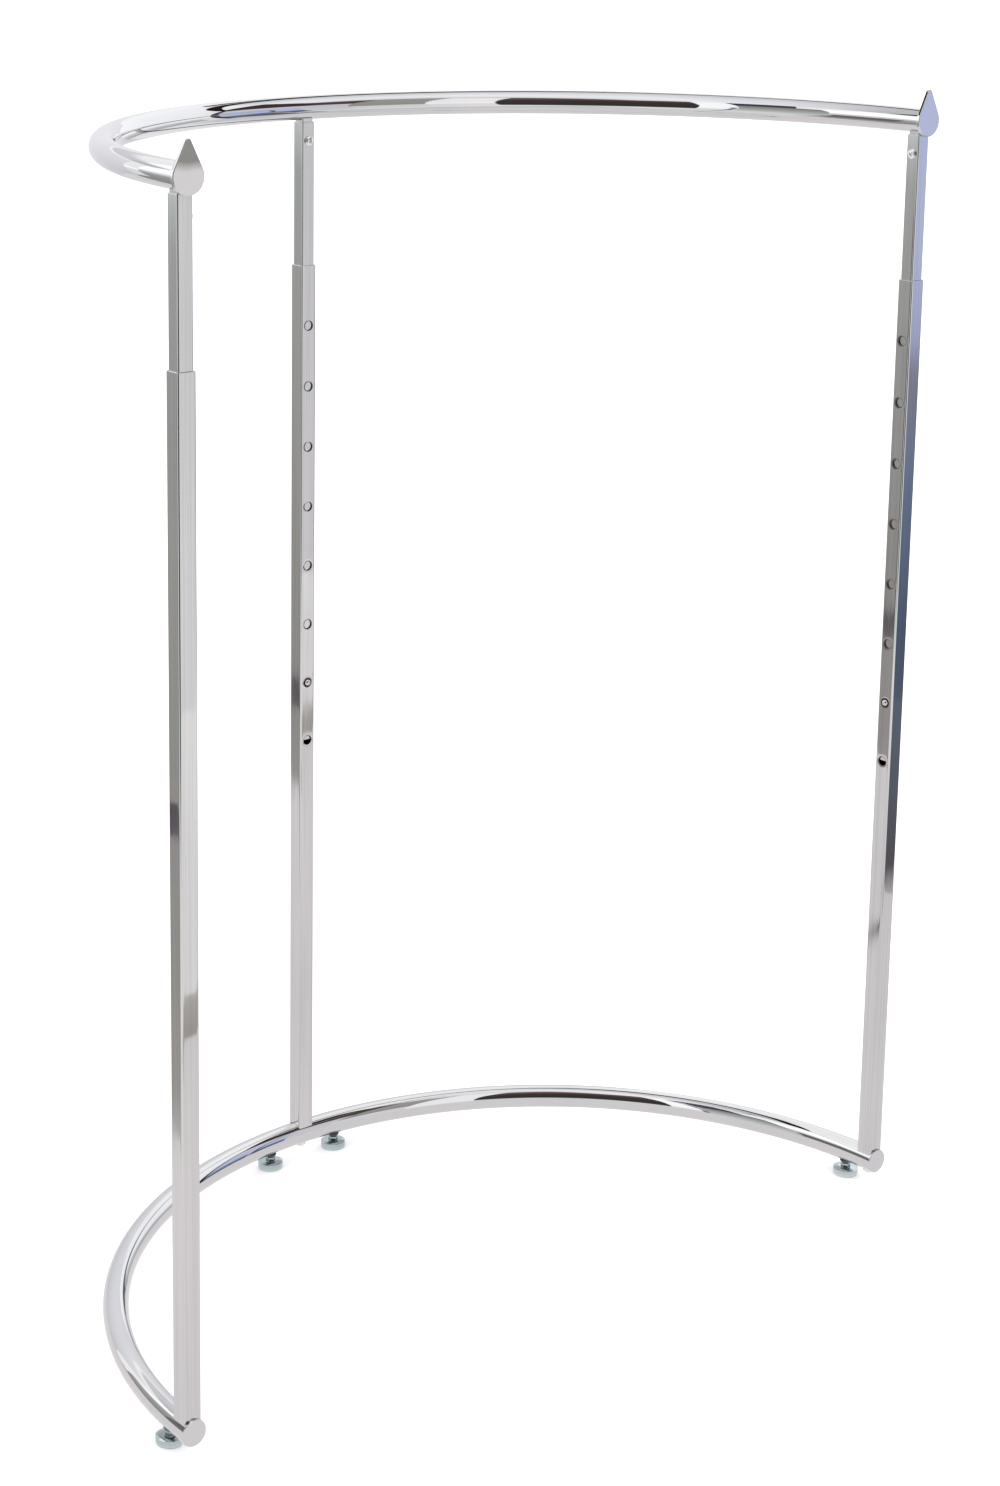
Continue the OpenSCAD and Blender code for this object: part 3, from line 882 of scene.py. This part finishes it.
# Dark doorway behind the camera, with a white column and a grey board to its left
standing("doorway", (-0.41, -2.15), (-1.84, -0.90), 0.0, ROOM_TOP, [
    (0.0, (0.84, 0.87, 0.85)), (0.10, (0.66, 0.70, 0.68)), (0.20, (0.32, 0.37, 0.35)),
    (0.36, (0.19, 0.20, 0.19)), (1.0, (0.20, 0.19, 0.18)), (2.0, (0.24, 0.20, 0.20)),
    (2.6, (0.36, 0.29, 0.30)), (ROOM_TOP, (0.40, 0.33, 0.35))
])
standing("white_column", (-1.84, -0.90), (-1.93, -0.52), 0.0, ROOM_TOP, [
    (0.0, (0.80, 0.81, 0.80)), (0.25, (0.86, 0.87, 0.87)), (0.6, grey(0.97)), (ROOM_TOP, grey(0.97))
])
standing("grey_board", (-1.93, -0.52), (-1.73, 0.88), 0.0, ROOM_TOP, [
    (0.0, (0.80, 0.82, 0.80)), (0.3, (0.70, 0.72, 0.70)), (1.2, (0.58, 0.59, 0.58)),
    (1.95, (0.48, 0.48, 0.47)), (2.1, (0.25, 0.22, 0.27)), (ROOM_TOP, (0.22, 0.19, 0.24))
])
# Grey-green wall behind and to the left, with a bright lamp over it and dark low things before it
standing("back_wall", (-1.45, 0.80), (-1.45, 3.0), 0.0, 0.95, [
    (0.0, (0.55, 0.54, 0.53)), (0.5, (0.58, 0.58, 0.57)), (0.84, (0.61, 0.62, 0.61)),
    (0.95, (0.74, 0.75, 0.75))
])
standing("back_lamp", (-1.47, 0.30), (-1.47, 3.0), 0.0, 3.2, [
    (0.0, (0.60, 0.60, 0.59)), (0.95, (0.76, 0.76, 0.765)), (1.15, (0.86, 0.86, 0.865)),
    (1.25, grey(1)), (3.2, grey(1))
])
standing("dark_panel", (-1.44, 0.35), (-1.44, 1.14), 0.01, 0.80, [
    (0.01, (0.42, 0.41, 0.41)), (0.80, (0.36, 0.35, 0.36))
])
standing("low_rail", (-1.5, 1.0), (-0.93, 1.76), 0.0, 0.055, [
    (0.0, (0.38, 0.36, 0.37)), (0.055, (0.33, 0.31, 0.34))
])
# Lilac wall to the right, navy low down and dark at its far edge, then pale walls as far as the doorway
standing("lilac_wall", (2.35, -0.60), (1.74, -1.86), 0.0, ROOM_TOP, [
    (0.0, (0.30, 0.34, 0.40)), (0.12, (0.29, 0.33, 0.41)), (0.40, (0.40, 0.45, 0.54)),
    (0.58, (0.49, 0.49, 0.55)), (0.63, (0.62, 0.64, 0.76)), (0.8, (0.68, 0.71, 0.82)),
    (1.5, (0.69, 0.72, 0.84)), (1.62, (0.80, 0.77, 0.80)), (1.9, (0.78, 0.75, 0.77)),
    (2.0, (0.25, 0.20, 0.20)), (ROOM_TOP, (0.20, 0.16, 0.16))
], [(0.0, (0.12, 0.08, 0.07)), (0.09, (0.14, 0.10, 0.09)), (0.11, grey(1)), (1.0, grey(1))])
standing("pale_wall", (1.74, -1.86), (1.20, -2.20), 0.0, ROOM_TOP, [
    (0.0, (0.77, 0.76, 0.77)), (1.0, (0.78, 0.77, 0.78)), (1.5, (0.74, 0.74, 0.80)),
    (1.9, (0.78, 0.76, 0.78)), (2.0, (0.30, 0.25, 0.25)), (ROOM_TOP, (0.26, 0.22, 0.22))
])
standing("split_wall", (1.20, -2.20), (0.30, -2.30), 0.0, ROOM_TOP, [
    (0.0, (0.80, 0.80, 0.81)), (0.914, (0.82, 0.81, 0.81)), (0.918, (0.55, 0.55, 0.53)),
    (ROOM_TOP, (0.60, 0.59, 0.58))
])
# Paper under the rack and what lies beyond its edges
lying("paper", (-0.80, -1.06), (1.20, 3.2), PAPER_Z, [
    (0.0, (0.78, 0.77, 0.77)), (0.15, PALE_FLOOR), (1.0, PALE_FLOOR)
])
lying("paper_edge", (-0.80, -1.18), (1.20, -1.06), PAPER_Z, [
    (0.0, (0.66, 0.65, 0.63)), (1.0, (0.58, 0.56, 0.54))
])
lying("front_floor", (-2.4, -2.4), (1.75, -1.18), FRONT_Z, [
    (0.0, (0.86, 0.85, 0.85)), (1.0, (0.83, 0.82, 0.82))
])
lying("left_floor", (-2.4, -1.18), (-0.80, 3.2), PAPER_Z, [
    (0.0, (0.86, 0.86, 0.85)), (0.30, (0.80, 0.80, 0.79)), (0.38, (0.57, 0.56, 0.55)),
    (1.0, (0.54, 0.53, 0.52))
])
lying("right_floor", (1.20, -1.30), (2.5, 0.2), PAPER_Z, [
    (0.0, (0.34, 0.38, 0.43)), (0.30, (0.32, 0.31, 0.33)), (0.36, (0.72, 0.71, 0.72)), (1.0, PALE_FLOOR)
])
lying("far_right_floor", (1.75, -2.4), (2.5, -1.30), PAPER_Z, [
    (0.0, (0.33, 0.36, 0.41)), (1.0, (0.34, 0.38, 0.43))
])
# Pale floor and a grey wall further out, which the rack's other sides mirror
lying("far_floor", (-14, -14), (14, 14), FLOOR_Z, [(0.0, (0.84, 0.84, 0.845)), (1.0, (0.84, 0.84, 0.845))])
standing("side_wall", (3.2, 3.4), (3.0, -0.5), 0.0, ROOM_TOP, [
    (0.0, (0.62, 0.62, 0.63)), (0.50, (0.72, 0.72, 0.73)), (0.80, (0.91, 0.91, 0.92)),
    (ROOM_TOP, (0.93, 0.93, 0.94))
])
# White canopy over the rack, with a grey part and a dark seam over the back of the rail
lying("canopy", (-0.68, -0.74), (0.90, 2.6), CANOPY_Z, [
    (0.0, (0.62, 0.55, 0.56)), (0.05, (0.86, 0.84, 0.85)), (0.16, (0.92, 0.92, 0.93)),
    (0.28, (0.84, 0.84, 0.85)), (0.36, (0.72, 0.72, 0.73)), (0.405, (0.74, 0.74, 0.75)),
    (0.409, (0.10, 0.08, 0.08)), (0.458, (0.10, 0.08, 0.08)), (0.462, (0.92, 0.91, 0.91)),
    (0.68, (0.92, 0.91, 0.91)), (0.78, (0.78, 0.77, 0.79)), (1.0, (0.76, 0.76, 0.78))
])
lying("left_canopy", (-1.7, 0.1), (-0.68, 2.6), CANOPY_Z, [
    (0.0, (0.90, 0.88, 0.89)), (0.3, grey(1)), (0.6, grey(1)), (0.70, (0.74, 0.74, 0.75)),
    (1.0, (0.70, 0.70, 0.71))
])
# Dark gap just under the canopy, from over the back of the rail out to the right
SEAM_Z, SEAM_WIDTH = 2.012, 0.15
seam_start, seam_end = Vector((0.30, 0.74, SEAM_Z)), Vector((2.1, -0.70, SEAM_Z))
seam_line = seam_end - seam_start
seam_place = Matrix.Translation((seam_start + seam_end) / 2)
seam_place @= Matrix.Rotation(math.atan2(seam_line.y, seam_line.x), 4, "Z")
card("seam", seam_line.length, SEAM_WIDTH, seam_place, [
    (0.0, seen(0.14, 0.10, 0.09)), (1.0, seen(0.10, 0.07, 0.07))
])
# Pale lavender sheet behind the rack
standing("backdrop", (-1.0, 3.0), (2.6, 2.4), 0.0, 2.0, [
    (0.0, (0.74, 0.74, 0.75)), (1.0, (0.80, 0.795, 0.815)), (2.0, (0.84, 0.84, 0.85))
])

# Floor
FLOOR_HALF = 30
bm = bmesh.new()
corners = ((-1, -1), (1, -1), (1, 1), (-1, 1))
bm.faces.new([bm.verts.new((x * FLOOR_HALF, y * FLOOR_HALF, 0)) for x, y in corners])
floor = from_bmesh("studio_floor", bm)
paint, nodes, links, shader = new_material("floor_paint")
shader.inputs["Roughness"].default_value = 0.9
shader.inputs["Specular IOR Level"].default_value = 0.1
links.new(pattern(nodes, links, PAINT_CLOUDS, grey(0.80), grey(0.82)), shader.inputs["Base Color"])
set_material(floor, paint)

# Soft white all round, fainter in reflections and plain white behind the object
SOFT_LIGHT, MIRRORED_LIGHT, BACKGROUND = 1.9, seen(0.90, 0.90, 0.90)[0], 1.0
world = bpy.data.worlds.new("studio_white")
bpy.context.scene.world = world
world.use_nodes = True
nodes, links = world.node_tree.nodes, world.node_tree.links
nodes.clear()
rays = nodes.new("ShaderNodeLightPath")
out = nodes.new("ShaderNodeOutputWorld")


def white_light(strength):
    back = nodes.new("ShaderNodeBackground")
    back.inputs["Color"].default_value = (1, 1, 1, 1)
    back.inputs["Strength"].default_value = strength
    return back.outputs[0]


light = white_light(SOFT_LIGHT)
for ray, strength in (("Is Glossy Ray", MIRRORED_LIGHT), ("Is Camera Ray", BACKGROUND)):
    pick = nodes.new("ShaderNodeMixShader")
    links.new(rays.outputs[ray], pick.inputs[0])
    links.new(light, pick.inputs[1])
    links.new(white_light(strength), pick.inputs[2])
    light = pick.outputs[0]
links.new(light, out.inputs["Surface"])
bpy.context.scene.view_settings.view_transform = "Standard"

# ---------------------------------------------------------------- camera
EYE = (-1.8331, -2.2322, 1.4560)
HEADING, DIP, ROLL = (math.radians(a) for a in (39.595, 12.498, 0.792))

camera = bpy.data.cameras.new("photo_camera")
camera.sensor_width = 36
camera.lens = 70.965
camera.shift_x, camera.shift_y = 0.0378, -0.1750
eye = bpy.data.objects.new("photo_camera", camera)
bpy.context.scene.collection.objects.link(eye)
eye.matrix_world = (
    Matrix.Translation(EYE) @ Matrix.Rotation(-HEADING, 4, "Z")
    @ Matrix.Rotation(math.pi / 2 - DIP, 4, "X") @ Matrix.Rotation(ROLL, 4, "Z")
)
bpy.context.scene.camera = eye
